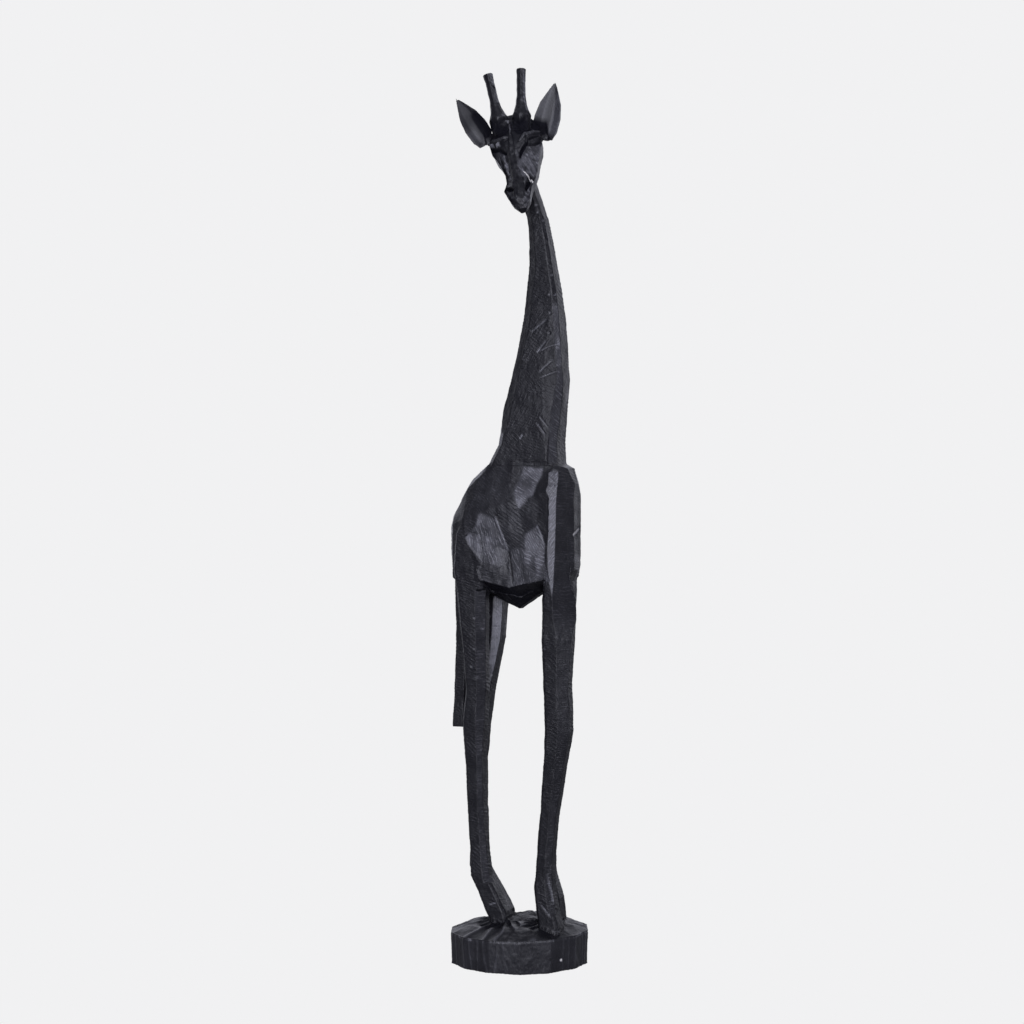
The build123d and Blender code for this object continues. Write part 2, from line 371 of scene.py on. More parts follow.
# Corners of the hand-cut flats on the side of the torso: y, z and depth of wood taken off.
CORNERS = {
    "back": (40, 541, 0.4),
    "withers": (7, 557, 0.4),
    "nape foot": (-20, 557, 0.8),
    "neck front": (-41, 557, 0.6),
    "foot back": (-16, 552, 1.6),
    "foot low": (-7, 524, 3.4),
    "foot tip": (-12, 507, 4.4),
    "foot right": (-29, 522, 4.0),
    "foot high": (-40, 550, 1.2),
    "wedge top": (-47, 556, 0.4),
    "wedge low": (-37, 509, 3.0),
    "strip mid": (-49, 512, 0.8),
    "strip low": (-48, 472, 0.8),
    "rump": (53, 492, 0.4),
    "haunch top": (33, 502, 1.4),
    "haunch high": (20, 496, 2.6),
    "haunch front": (12, 487, 4.2),
    "haunch step": (1, 460, 8.0),
    "haunch foot": (1, 446, 7.6),
    "haunch under": (12, 440, 5.6),
    "haunch back": (31, 446, 2.6),
    "haunch heel": (45, 463, 1.0),
    "haunch edge": (51, 474, 0.6),
    "haunch notch": (38, 488, 1.0),
    "mid": (-20, 461, 5.2),
    "mid high": (-21, 477, 4.6),
    "spike top": (-35, 488, 2.8),
    "spike top deep": (-35, 488, 4.0),
    "spike low deep": (-44, 461, 5.6),
    "spike low": (-30, 458, 5.8),
    "belly right": (-45, 443, 3.6),
    "belly strip": (-52, 426, 1.2),
    "belly mid": (-19, 443, 5.4),
    "belly low": (-28, 433, 4.4),
    "keel right": (-28, 414, 2.6),
    "keel mid": (-8, 408, 3.2),
    "seam": (-4, 433, 6.2),
    "keel left": (26, 414, 1.6),
    "thigh": (35, 438, 1.6),
}
FLATS_LOW, FLATS_HIGH = 395, 560  # heights that hold all the flats
BORDER_WANDER = 1.7  # how far the borders of the flats stray from straight
# Flats between those corners, with the rubbed stain and painted light of each, and how its marks lean.
FLATS = [
    ("back withers foot-low foot-tip haunch-high haunch-top rump", 0.2, 40),
    ("withers nape-foot foot-back foot-low", 0.05, 50),
    ("nape-foot neck-front foot-high foot-back", 0.1, 20),
    ("foot-back foot-high foot-right foot-tip foot-low", 2.1, 48),
    ("neck-front wedge-top strip-mid wedge-low foot-right foot-high", -0.05, 50),
    ("haunch-top haunch-high foot-tip haunch-front", 0.1, 42),
    ("foot-tip mid-high mid haunch-step haunch-front", 0.25, 50),
    ("foot-tip foot-right wedge-low spike-top mid-high", 0.1, 58),
    ("wedge-low strip-mid strip-low spike-top", -0.1, 55),
    ("spike-top strip-low spike-low-deep", 0.1, 60),
    ("haunch-top haunch-high haunch-front haunch-step haunch-foot haunch-under haunch-back"
     " haunch-heel haunch-edge haunch-notch", 2.0, 12),
    ("rump haunch-top haunch-notch haunch-edge", 0.2, 50),
    ("mid-high spike-top-deep spike-low-deep spike-low mid", 1.9, 25),
    ("mid spike-low spike-low-deep belly-right belly-strip belly-low belly-mid", 1.4, 62),
    ("haunch-step mid belly-mid seam haunch-foot", 0.6, 15),
    ("seam belly-mid belly-low keel-right keel-mid", 0.9, 10),
    ("haunch-back haunch-under haunch-foot seam keel-mid keel-left thigh", 0.4, 45),
    ("belly-low belly-strip keel-right", 0.7, -40),
]
# Knife lines on the right and left faces: y and z of their points, half width, depth, and rubbed
# stain with painted light: above zero a painted highlight, below zero painted shade in the groove.
KNIFE_LINES = [
    ([(15, 496), (10, 484), (1, 460)], 1.0, -0.6, 3.0),
    ([(-35, 487), (-44, 462)], 0.9, -0.6, 3.2),
    ([(0, 458), (-3, 440), (-6, 421)], 0.8, 0.9, -1.0),
    ([(54, 474), (44, 480)], 0.8, 0.9, -0.8),
    ([(-14, 588), (-10, 583)], 0.9, 0.5, 2.2),
    ([(-46, 741), (-56, 748)], 0.9, 0.7, 1.6),
    ([(-22, 702), (-40, 716)], 0.8, 0.7, 1.4),
    ([(-28, 679), (-40, 692)], 0.8, 0.6, 1.4),
    ([(-28, 679), (-58, 690)], 0.7, 0.6, 1.2),
    ([(-32, 657), (-48, 671)], 0.9, 0.7, 1.5),
    ([(-34, 651), (-54, 658)], 0.8, 0.6, 1.3),
    ([(-30, 600), (-40, 588)], 0.9, 0.7, 1.3),
    ([(-34, 607), (-44, 594)], 0.8, 0.6, 1.2),
    ([(8, 61), (-8, 67)], 0.9, 0.5, 1.8),
    ([(14, 74), (0, 81)], 0.9, 0.5, 1.8),
    ([(26, 96), (14, 99)], 0.8, 0.5, 1.4),
    ([(24, 66), (16, 69)], 0.9, 0.5, 1.7),
    ([(-43, 104), (-46, 90), (-50, 72)], 1.1, 0.5, 1.5),
    ([(-38, 71), (-50, 57)], 0.8, 0.4, 1.2),
]
# Small chips along the front of the neck: y and z.
CHIPS = [
    (-25, 842), (-27, 834), (-32, 825), (-38, 813), (-42, 804), (-46, 791), (-49, 778), (-52, 768),
    (-54, 755), (-42, 786), (-43, 764), (-42, 742), (-43, 722), (-42, 700), (40, 350), (44, 330),
    (38, 318), (34, 372), (40, 384), (-41, 366), (-44, 352), (-42, 372),
]

HAND_SHAKE = 0.5  # how far single strokes stray
LEAST_CUT = 0.05  # planing always takes this much

# Plinth: where the hooves stand, and the marks that the tools left round them and on the wall.
HOOVES = [(-18, -46), (18, -34), (-18, 14), (17, 26)]
FAN_START = 0.7  # place of each fan of strokes, as a share of the way from the middle to the hoof
FAN_STROKES = 17
WALL_STROKES = 40
PLINTH_MARKS_TOP = 62
PALE_SPECK = np.array([-32.5, -63.5, 13])

NECK_FOOT = 560  # height where the neck leaves the body
BREAST_NOTCH = [(-5, 477), (10, 483)]  # x and z


def triangles(names):
    """Corner triples of one flat, split into triangles."""
    ring = [CORNERS[name.replace("-", " ")] for name in names.split()]
    flat = [Vector((y, z, 0)) for y, z, _ in ring]
    return [[ring[i] for i in triple] for triple in tessellate_polygon([flat])]


def side_flats(block):
    """Cuts the flats on both flanks of the torso."""
    co, no = block.co, block.no
    for side in (-1, 1):
        face = smooth(0.25, 0.55, no[:, 0] * side) * smooth(15, 22, co[:, 0] * side)
        near = np.flatnonzero((face > 0) & (co[:, 2] > FLATS_LOW) & (co[:, 2] < FLATS_HIGH))
        stray = np.stack([noise(co[near], 10, 5), noise(co[near], 10, 6)], axis=1)
        points = co[near, 1:] + BORDER_WANDER * stray
        depth = np.zeros(len(near))
        rub_and_painted_light = np.zeros(len(near))
        lay = block.lay[near]
        for names, wear_and_painted_light, lean in FLATS:
            for a, b, c in triangles(names):
                size = (b[0] - a[0]) * (c[1] - a[1]) - (c[0] - a[0]) * (b[1] - a[1])
                px, py = points[:, 0], points[:, 1]
                u = ((b[0] - px) * (c[1] - py) - (c[0] - px) * (b[1] - py)) / size
                v = ((c[0] - px) * (a[1] - py) - (a[0] - px) * (c[1] - py)) / size
                inside = (u >= 0) & (v >= 0) & (u + v <= 1)
                depth = np.where(inside, u * a[2] + v * b[2] + (1 - u - v) * c[2], depth)
                rub_and_painted_light = np.where(inside, wear_and_painted_light, rub_and_painted_light)
                lay = np.where(inside, lean, lay)
        co[near, 0] -= side * depth * face[near]
        # Rubbed stain and painted highlight on the flats, fainter low on the rear half and broken up by
        # noise.
        rub_and_painted_light *= 1 - 0.55 * smooth(462, 438, co[near, 2]) * smooth(-4, 4, co[near, 1])
        rub_and_painted_light *= 0.85 + 0.75 * noise(co[near] * np.array([1, 1, 0.45]), 6, 7) + 0.3 * noise(co[near], 16, 8)
        block.wear_and_painted_light[near] += rub_and_painted_light * face[near]
        block.lay[near] = lay
    block.wear_and_painted_light = block.blur(block.wear_and_painted_light, 5)


def chamfer_back(block):
    """Takes the corners off the top of the torso, on both sides."""
    co = block.co
    for side in (-1, 1):
        edge_x, edge_z = between(BACK_EDGE, co[:, 1])
        over = (co[:, 0] * side - edge_x) * CHAMFER_OUT + (co[:, 2] - edge_z) * CHAMFER_UP
        over += CHAMFER_DEPTH
        over *= smooth(26, 44, co[:, 1])
        pick = (co[:, 2] > 500) & (co[:, 2] < 562) & (co[:, 1] < 78) & (over > 0)
        over = np.where(pick & (co[:, 0] * side > 4), over, 0)
        co[:, 0] -= side * over * CHAMFER_OUT
        co[:, 2] -= over * CHAMFER_UP
        block.wear_and_painted_light += (1.1 - block.wear_and_painted_light) * smooth(0.3, 1.0, over)


def knife_lines(block):
    """Single strokes and small chips on the right and left faces."""
    co = block.co
    own = np.flatnonzero(np.abs(block.no[:, 0]) > 0.35)
    points = co[own, 1:] + HAND_SHAKE * np.stack([noise(co[own], 7, 34), noise(co[own], 7, 35)], axis=1)
    depth = np.zeros(len(own))
    rub_and_painted_light = np.zeros(len(own))
    for line, half, cut, wear_and_painted_light in KNIFE_LINES:
        distance, t = to_line(points, line)
        shape = smooth(half * 1.5, half * 0.4, distance) * smooth(-0.1, 0.15, t) * smooth(1.1, 0.8, t)
        depth += cut * shape
        rub_and_painted_light += wear_and_painted_light * shape
    for place in CHIPS:
        distance = np.linalg.norm(points - place, axis=1)
        shape = smooth(1.9, 0.7, distance)
        depth += 0.6 * shape
        rub_and_painted_light += 1.0 * shape
    facing = smooth(0.35, 0.6, np.abs(block.no[own, 0]))
    whole = np.zeros(block.count)
    whole[own] = depth * facing
    block.cut(whole)
    # The strokes and chips are painted lighter, as rubbed stain and painted highlight; strokes below zero
    # get painted shade in their grooves.
    block.wear_and_painted_light[own] += rub_and_painted_light * facing


RASP_ONE = np.array([0.25, -0.6, 0.76])
RASP_TWO = np.array([0.1, -0.3, 0.95])


def strokes(points, direction, spacing, seed, wobble=0.4):
    """Rows of tool marks across a direction, 0 at a crest and 1 in the middle of a mark."""
    s = points @ direction / spacing + wobble * noise(points, spacing * 5, seed)
    s += 0.15 * noise(points, spacing * 1.6, seed + 1)
    t = np.abs(2 * (s - np.floor(s)) - 1)
    return 1 - t * t


def body_marks(block):
    """Uneven planing, rasp marks and the waviness of hand work, all over the body."""
    co = block.co
    z = co[:, 2]
    limb = smooth(60, 70, z)
    depth = 0.5 + 0.42 * noise(co, 17, 11) + 0.25 * noise(co, 7, 12)
    patch = smooth(-0.15, 0.25, noise(co, 30, 14))
    rasp = strokes(co, RASP_ONE, 3.4, 21) * patch + strokes(co, RASP_TWO, 3.1, 24) * (1 - patch)
    strength = smooth(-0.6, 0.6, noise(co, 13, 27))
    depth += limb * 0.4 * rasp * strength
    # The crests of the rasp marks are painted lighter, as rubbed stain and painted highlight.
    block.wear_and_painted_light += limb * 0.35 * smooth(0.35, 0.0, rasp) * strength
    # Painted shade on the downward faces under the belly, where the rasp marks are also weakened.
    below = smooth(-0.4, -0.62, block.no[:, 2]) * band(z, (384, 390), (438, 430))
    block.wear_and_painted_light -= 1.3 * below
    block.tooth *= 1 - 0.7 * below
    breast = smooth(0.95, 0.99, -block.no[:, 1]) * band(z, (436, 446), (540, 530))
    breast *= smooth(-16, -13, co[:, 0])
    block.wear_and_painted_light += breast * 1.2 * noise(co, 9, 16)
    # Painted rim highlight on the faces turned to the rear, high on the body.
    for side in (-1, 1):
        painted_rim_light = smooth(0.88, 0.97, block.no @ heading(side * 152)) * smooth(470, 500, z)
        block.wear_and_painted_light += 1.6 * painted_rim_light
    distance, _ = to_line(co[:, [0, 2]], BREAST_NOTCH)
    notch = smooth(2.4, 0.8, distance) * smooth(-60, -64, co[:, 1])
    block.wear_and_painted_light += 6 * notch
    depth += 1.3 * notch
    zone = noise(co, 34, 15)
    plain = block.lay == UNSET_LAY
    neck_lay = np.select([zone > 0.12, zone < -0.15], [62, -35], 38)
    low_lay = np.select([zone > 0.2, zone < -0.2], [80, 65], 88)
    block.lay = np.where(plain, np.where(z > NECK_FOOT, neck_lay, low_lay), block.lay)
    depth += 0.18 * noise(co, 2.4, 31)
    block.cut(np.clip(depth, LEAST_CUT, 2))


def plinth_marks(block):
    """Gouge strokes that fan out from each hoof, and upright chisel strokes on the wall."""
    co, no = block.co, block.no
    pick = (co[:, 2] < PLINTH_MARKS_TOP) & (np.hypot(co[:, 0], co[:, 1]) < 90)
    top = pick & (no[:, 2] > 0.72) & (co[:, 2] > 28)
    wall = pick & (np.abs(no[:, 2]) < 0.45) & (co[:, 2] < 44)
    depth = np.zeros(block.count)
    p = co[top]
    away = np.array([np.hypot(p[:, 0] - x, p[:, 1] - y) for x, y in HOOVES])
    nearest = away.argmin(axis=0)
    start = np.array(HOOVES)[nearest] * FAN_START
    turn = np.arctan2(p[:, 1] - start[:, 1], p[:, 0] - start[:, 0])
    s = turn * FAN_STROKES / (2 * math.pi) + 0.35 * noise(p, 16, 41)
    groove = 1 - (2 * np.abs(s - np.floor(s) - 0.5)) ** 2
    length = smooth(-0.5, 0.2, noise(p, 22, 43))
    seat = smooth(30, 20, away.min(axis=0)) * smooth(56, 52, p[:, 2])
    depth[top] = 0.3 + 2.1 * groove * length + 0.8 * np.clip(noise(p, 9, 44), 0, 1) + 2.0 * seat
    w = co[wall]
    around = np.arctan2(w[:, 1], w[:, 0])
    bank = smooth(-0.2, 0.5, np.sin(around - 0.2)) + smooth(-0.3, 0.4, np.cos(around))
    bank += 0.6 * smooth(-2.2, -1.9, around) * smooth(-1.0, -1.4, around)
    s = around * WALL_STROKES / (2 * math.pi) + 0.5 * noise(w * np.array([1, 1, 0.3]), 9, 45)
    flute = 1 - (2 * np.abs(s - np.floor(s) - 0.5)) ** 2
    depth[wall] = 0.2 + 0.6 * flute * np.clip(bank, 0.05, 1) + 0.3 * np.clip(noise(w, 11, 46), 0, 1)
    block.cut(depth)
    # The crests of the gouge and chisel strokes are painted lighter, as rubbed stain and painted highlight;
    # the sunk seat round each hoof gets painted shade.
    block.wear_and_painted_light[top] += 1.5 * smooth(0.5, 0.05, groove) * length * (1 - seat) - 0.9 * seat
    block.wear_and_painted_light[wall] += 0.25 + 0.8 * np.clip(bank, 0, 1) * smooth(0.5, 0.0, flute)
    block.tooth[pick] = 0.12
    block.wear_and_painted_light += 8 * smooth(2.2, 1.0, np.linalg.norm(co - PALE_SPECK, axis=1))
    rim = np.flatnonzero(pick & (np.abs(no[:, 2] - 0.4) < 0.35) & (co[:, 2] > 30) & (co[:, 2] < 42))
    block.wear_and_painted_light[rim] += 1.1 * smooth(0.0, 0.5, noise(co[rim], 8, 47))
    block.tooth[rim] = RASP_TOOTH
    block.lay[pick] = 10


body = Block("body_block", BODY, BODY_VOXEL)
body.relax(1)
body.read_normals()
body.cut(np.full(body.count, SKIN_INSET))
side_flats(body)
chamfer_back(body)
# Each planed face takes a set value of painted light: above zero a painted highlight, below zero painted
# shade.
body.bevel(NECK_FRONT, reach=32, wear_and_painted_light=-0.45)
body.bevel(NECK_EDGE, reach=40, wear_and_painted_light=0.75)
body.bevel(NECK_LIT_EDGE, reach=22, wear_and_painted_light=0.9)
body.bevel(NECK_HIGH_EDGE, reach=22, wear_and_painted_light=0.1)
body.bevel(NECK_BACK, reach=26, wear_and_painted_light=-0.4)
body.bevel(SHOULDER_STRIP, reach=40, wear_and_painted_light=1.8, lay=-42)
body.bevel(SHOULDER_FRONT, reach=48, wear_and_painted_light=0.15, lay=80)
body.bevel(RIGHT_FRONT_SHIN, reach=24, wear_and_painted_light=0.1, lay=86)
body.bevel(RIGHT_HIND_FACE, reach=24, wear_and_painted_light=0.35, lay=86)
body.bevel(LEFT_HIND_INNER, reach=20, wear_and_painted_light=3.0, lay=0)
body.read_normals()
plinth_marks(body)
body_marks(body)
body.read_normals()
knife_lines(body)
body.relax(1, 0.35)
pieces = body.pieces(BODY)

# ---- head, horns and ears ------------------------------------------------------------------------
HEAD_CENTRE = np.array([-7.8, -0.8, 912.0])
HEAD_TURN, HEAD_DROOP, HEAD_ROLL = 76, 55, 11


def head_axes():
    """Directions to the head's left, out of its face and along its muzzle."""
    ahead = Vector(heading(-HEAD_TURN))
    droop = math.radians(HEAD_DROOP)
    along = ahead * math.cos(droop) - Vector((0, 0, 1)) * math.sin(droop)
    left = Vector((math.cos(math.radians(HEAD_TURN)), -math.sin(math.radians(HEAD_TURN)), 0))
    roll = Matrix.Rotation(math.radians(HEAD_ROLL), 3, ahead)
    left, along = roll @ left, roll @ along
    return np.array(left), np.array(along.cross(left)), np.array(along)


# Raised and sunk strokes of the face: line across and along the muzzle, half width, height, and
# rubbed stain with painted light (a painted highlight above zero, painted shade below).
FACE_STROKES = [
    ([(-4, -13), (-4, -9)], 2.4, 2.0, 2.2),
    ([(-3, -6), (-3, 8)], 1.8, 2.0, 1.0),
    ([(-3, 9), (-4, 20), (-5, 40), (-5, 66), (-6, 86)], 4.6, 2.0, -0.6),
    ([(1, 26), (2, 46), (6, 60), (9, 84)], 2.6, 0.9, 0.8),
    ([(6, 17), (11, 12), (19, 6), (28, 0)], 2.6, 1.8, 0.3),
    ([(-7, 10), (-16, 8), (-27, -1)], 3.4, 1.5, 0.3),
    ([(-29, 4), (-25, 9)], 2.2, 2.4, 2.4),
    ([(-21, 10), (-18, 13)], 2.6, 2.6, 4.0),
    ([(16, 18), (20, 14), (25, 10)], 4.8, 2.4, -0.2),
    ([(-29, 9), (-24, 14), (-17, 19), (-11, 27)], 1.8, -3.4, -1.5),
    ([(14, 19), (10, 24), (6, 29), (4, 35)], 1.9, -4.4, -1.8),
    ([(16, 16), (22, 11), (27, 7)], 1.1, -2.6, -1.6),
    ([(14, 22), (21, 20.5), (28, 14)], 1.0, -1.8, -1.0),
    ([(12, 63), (9, 71), (6, 80)], 1.7, -5.2, -2.2),
    ([(-17, 70), (-12, 75), (-8, 80)], 1.9, -4.6, -2.2),
    ([(6, 57), (11, 64), (17, 75)], 1.3, 2.0, 8.0),
    ([(-15, 28), (-13, 40), (-12, 51)], 2.2, 0.8, 2.2),
    ([(-19, 26), (-18, 38), (-16, 50)], 0.9, -1.2, -0.8),
    ([(28, 20), (25, 32), (21, 50)], 1.6, 0.8, 1.6),
    ([(12, 34), (16, 46), (20, 58)], 1.3, 0.5, 1.2),
    ([(7, 40), (11, 50), (16, 60)], 1.2, 0.5, 1.2),
    ([(17, 28), (21, 38), (22, 48)], 1.3, 0.5, 1.1),
]
# Broad hollows and swells of the face: centre, half sizes, height, and rubbed stain with painted light
# (painted shade below zero).
FACE_PADS = [
    ((0, -4), (40, 26), -0.2, -1.3),
    ((11, 1), (10, 8), -1.8, -0.8),
    ((-13, 0), (9, 8), -1.8, -0.8),
    ((13, 44), (12, 20), 0.9, 0.6),
    ((22, 26), (8, 13), 0.9, 0.45),
    ((-18, 26), (7, 12), 0.4, 0.6),
    ((0, 92), (12, 14), 0.4, 0.25),
    ((-4, 84), (12, 8), 0.3, -0.1),
]


FACE_GROUND = -2.6  # height of the face between its raised strokes, against the billet


def face_relief(block):
    """Carves brows, closed eyes, cheeks, nose and nostrils out of the front of the skull."""
    left, out, along = head_axes()
    d = block.co - HEAD_CENTRE
    x, y, s = d @ left, d @ out, d @ along
    facing = smooth(0.0, 0.45, block.no @ out)
    facing *= smooth(-24, -14, s) * band(y, (-9, -6), (34, 31)) * smooth(36, 33, np.abs(x))
    own = np.flatnonzero(facing > 0)
    points = np.stack([x, s], axis=1)[own]
    points += HAND_SHAKE * np.stack([noise(block.co[own], 6, 51), noise(block.co[own], 6, 52)], axis=1)
    height = np.full(len(own), FACE_GROUND)
    rub_and_painted_light = np.zeros(len(own))
    for (cx, cs), (rx, rs), rise, wear_and_painted_light in FACE_PADS:
        shape = smooth(1.15, 0.45, np.hypot((points[:, 0] - cx) / rx, (points[:, 1] - cs) / rs))
        height += rise * shape
        rub_and_painted_light += wear_and_painted_light * shape
    for line, half, rise, wear_and_painted_light in FACE_STROKES:
        distance, t = to_line(points, line)
        width = half * (1 - 0.45 * np.abs(2 * t - 1) ** 2)
        shape = smooth(width * 1.3, width * 0.4, distance)
        height += rise * shape
        rub_and_painted_light = rub_and_painted_light * (1 - shape) + wear_and_painted_light * shape
    height += 0.35 * noise(block.co[own], 4, 61)
    grain = strokes(block.co[own], along + 0.9 * left, 2.2, 63)
    height += 0.25 * grain
    # The crests of the grain strokes are painted lighter, as rubbed stain and painted highlight.
    rub_and_painted_light += 0.35 * smooth(0.4, 0.0, grain) * smooth(-0.4, 0.4, noise(block.co[own], 8, 64))
    mottle = noise(block.co[own], 3.2, 65) + 0.6 * noise(block.co[own], 7, 66)
    rub_and_painted_light += 0.8 * mottle * smooth(22, 34, points[:, 1])
    height += 0.25 * mottle
    cut = np.zeros(block.count)
    cut[own] = np.clip(-height, 0.15, 9) * facing[own]
    block.co -= out * cut[:, None]
    block.wear_and_painted_light[own] += rub_and_painted_light * facing[own]


EAR_HALF_WIDTH = 13.0
# Ears: root, tip, and the side on which the shade lies next to the skull.
EARS = {
    "right": (np.array([-19.2, 31, 913.5]), np.array([-24.7, 67.3, 966.5]), -1),
    "left": (np.array([2.8, -26.5, 918]), np.array([11.1, -38.9, 983]), 1),
}


def near_ears(block):
    """For each ear: its name, how far each point belongs to it, and the place along and across it."""
    toward = heading(CAMERA_AZIMUTH)
    for name, (root, tip, side) in EARS.items():
        run = tip - root
        length = np.linalg.norm(run)
        d = block.co - root
        t = d @ run / length**2
        across = np.cross(run / length, toward) * side
        a = d @ across / EAR_HALF_WIDTH
        off = d - np.outer(t, run)
        member = band(t, (0.06, 0.16), (1.2, 1.1)) * smooth(24, 18, np.linalg.norm(off, axis=1))
        yield name, member, t, a


def horn_and_ear_marks(block):
    """Knife marks on the horns with a painted highlight on their lit side, and smooth ears with
    painted shade in the hollow next to the skull.
    """
    left, _, along = head_axes()
    leaf = np.zeros(block.count)
    shade = np.zeros(block.count)
    for name, member, t, a in near_ears(block):
        leaf = np.maximum(leaf, member)
        # Painted light and shade on each ear: painted shade in the hollow next to the skull, painted light
        # on its lit part, the right ear darker overall, and noise in the tone.
        if name == "left":
            painted_hollow_shade = smooth(0.35, -0.1, a) * smooth(0.4, 0.2, t)
            pale = 0.6 * smooth(0.2, -0.4, a) * smooth(1.0, 0.8, t) + 1.2 * smooth(0.2, 0.5, a)
        else:
            painted_hollow_shade = smooth(0.0, -0.4, a) * smooth(0.7, 0.45, t)
            pale = -0.6 + 0.9 * smooth(-0.1, 0.3, a) * smooth(0.5, 0.3, t)
        shade += member * (pale * (1 - painted_hollow_shade) + 0.3 * noise(block.co, 20, 74) - 3.0 * painted_hollow_shade)
    block.relax(9, 0.5, leaf)
    s = (block.co - HEAD_CENTRE) @ along
    foot = smooth(958, 945, block.co[:, 2]) * smooth(5, -8, s) * (1 - leaf)
    block.relax(14, 0.5, foot)
    depth = 0.25 + 0.25 * noise(block.co, 6, 71) + 0.22 * noise(block.co, 2.2, 72)
    block.cut(np.clip(depth, LEAST_CUT, 1) * (1 - 0.8 * leaf))
    horn = smooth(936, 944, block.co[:, 2]) * (1 - leaf)
    lit = smooth(0.2, 0.7, block.no @ left) * smooth(-0.5, 0.3, noise(block.co, 5, 73))
    # Painted highlight on the horns' lit side, the horns darker elsewhere, and the ears' painted light and
    # shade.
    block.wear_and_painted_light += horn * (1.9 * lit - 0.5) + block.blur(shade, 5)
    block.lay[:] = 35
    block.tooth = RASP_TOOTH - 0.45 * leaf


top = Block("top_block", TOP, TOP_VOXEL)
top.relax(2)
top.read_normals()
top.cut(np.full(top.count, SKIN_INSET))
face_relief(top)
top.read_normals()
horn_and_ear_marks(top)
top.relax(1, 0.3)
pieces += top.pieces(TOP)


# ---- materials -----------------------------------------------------------------------------------
# Stain colours: near black; grey where rubbed and where a highlight is painted; near white on bare wood and
# on painted glints.
STAIN = (0.009, 0.009, 0.0125, 1)
RUBBED_AND_LIT = (0.2, 0.2, 0.225, 1)
BARE_AND_GLINT = (0.75, 0.73, 0.7, 1)
DOWEL_DARK = (0.36, 0.22, 0.12, 1)
DOWEL_PALE = (0.52, 0.36, 0.22, 1)
FINE_SPACING, LONG_SPACING = 0.0024, 0.0041  # metres between tool marks
LONG_LEAN = 0.16  # radians by which the long marks lean away from the fine ones


class Tree:
    """Short way to write shader nodes."""

    def __init__(self, tree):
        self.tree = tree

    def put(self, socket, value):
        """Links another node's output to a socket, or sets its value."""
        if isinstance(value, bpy.types.NodeSocket):
            self.tree.links.new(value, socket)
        else:
            socket.default_value = value

    def add(self, kind, **inputs):
        """A new node with these inputs, where _ stands for a space in an input's name."""
        made = self.tree.nodes.new(kind)
        for key, value in inputs.items():
            self.put(made.inputs[key.replace("_", " ")], value)
        return made

    def maths(self, kind, a, b=0.0, c=None):
        made = self.tree.nodes.new("ShaderNodeMath")
        made.operation = kind
        for socket, value in zip(made.inputs, (a, b) if c is None else (a, b, c)):
            self.put(socket, value)
        return made.outputs[0]

    def span(self, value, low, high, first=0.0, last=1.0):
        """A soft step from first to last, while the value goes from low to high."""
        made = self.add("ShaderNodeMapRange", Value=value, From_Min=low, From_Max=high)
        made.interpolation_type = "SMOOTHSTEP"
        self.put(made.inputs["To Min"], first)
        self.put(made.inputs["To Max"], last)
        return made.outputs["Result"]

    def noise(self, vector, scale, detail=2.0, roughness=0.5):
        made = self.add("ShaderNodeTexNoise", Vector=vector, Scale=scale, Detail=detail, Roughness=roughness)
        return made.outputs["Fac"]

    def dot(self, vector, direction):
        made = self.tree.nodes.new("ShaderNodeVectorMath")
        made.operation = "DOT_PRODUCT"
        self.put(made.inputs[0], vector)
        self.put(made.inputs[1], direction)
        return made.outputs["Value"]

    def attribute(self, name):
        """The value that the carving stored on each point."""
        made = self.tree.nodes.new("ShaderNodeAttribute")
        made.attribute_name = name
        return made.outputs["Fac"]

    def blend(self, share, first, second):
        """A colour between two others."""
        made = self.tree.nodes.new("ShaderNodeMix")
        made.data_type = "RGBA"
        self.put(made.inputs["Factor"], share)
        self.put(made.inputs["A"], first)
        self.put(made.inputs["B"], second)
        return made.outputs["Result"]

    def camera_switch(self, others, camera):
        """One shader for the camera's own rays and another for all other light."""
        made = self.tree.nodes.new("ShaderNodeMixShader")
        self.put(made.inputs[0], self.tree.nodes.new("ShaderNodeLightPath").outputs["Is Camera Ray"])
        self.put(made.inputs[1], others.outputs[0])
        self.put(made.inputs[2], camera.outputs[0])
        return made.outputs[0]


def new_material(name):
    """A material with its maths helper and its shader node."""
    material = bpy.data.materials.new(name)
    material.use_nodes = True
    return material, Tree(material.node_tree), material.node_tree.nodes["Principled BSDF"]


def hatch(kit, across, lean, place, spacing):
    """Thin straight parallel tool marks that lean by an angle from upright, 1 on a mark."""
    level = kit.maths("MULTIPLY", across, kit.maths("COSINE", lean))
    rise = kit.maths("MULTIPLY", kit.dot(place, (0, 0, 1)), kit.maths("SINE", lean))
    bend = kit.maths("MULTIPLY", kit.noise(place, 40.0, 1.0), 0.005)
    shake = kit.maths("MULTIPLY", kit.noise(place, 260.0, 1.0), 0.0016)
    along = kit.maths("ADD", kit.maths("ADD", level, rise), kit.maths("ADD", bend, shake))
    wave = kit.maths("SINE", kit.maths("MULTIPLY", along, 2 * math.pi / spacing))
    return kit.span(wave, 0.2, 1.0)


def tool_marks(kit, place):
    """Two sets of hatching, broken up, as strong as the wood's tooth."""
    toward = heading(CAMERA_AZIMUTH)
    across = kit.dot(place, (-toward[1], toward[0], 0.0))
    lay = kit.attribute("lay")
    fine_marks = hatch(kit, across, lay, place, FINE_SPACING)
    long_marks = hatch(kit, across, kit.maths("ADD", lay, LONG_LEAN), place, LONG_SPACING)
    broken = kit.span(kit.noise(place, 210.0, 3.0, 0.65), 0.42, 0.66)
    rare = kit.span(kit.noise(place, 75.0, 2.0, 0.6), 0.48, 0.62)
    fine_marks = kit.maths("MULTIPLY", fine_marks, broken)
    long_marks = kit.maths("MULTIPLY", long_marks, rare)
    return kit.maths("MULTIPLY", kit.maths("MAXIMUM", fine_marks, long_marks), kit.attribute("tooth"))


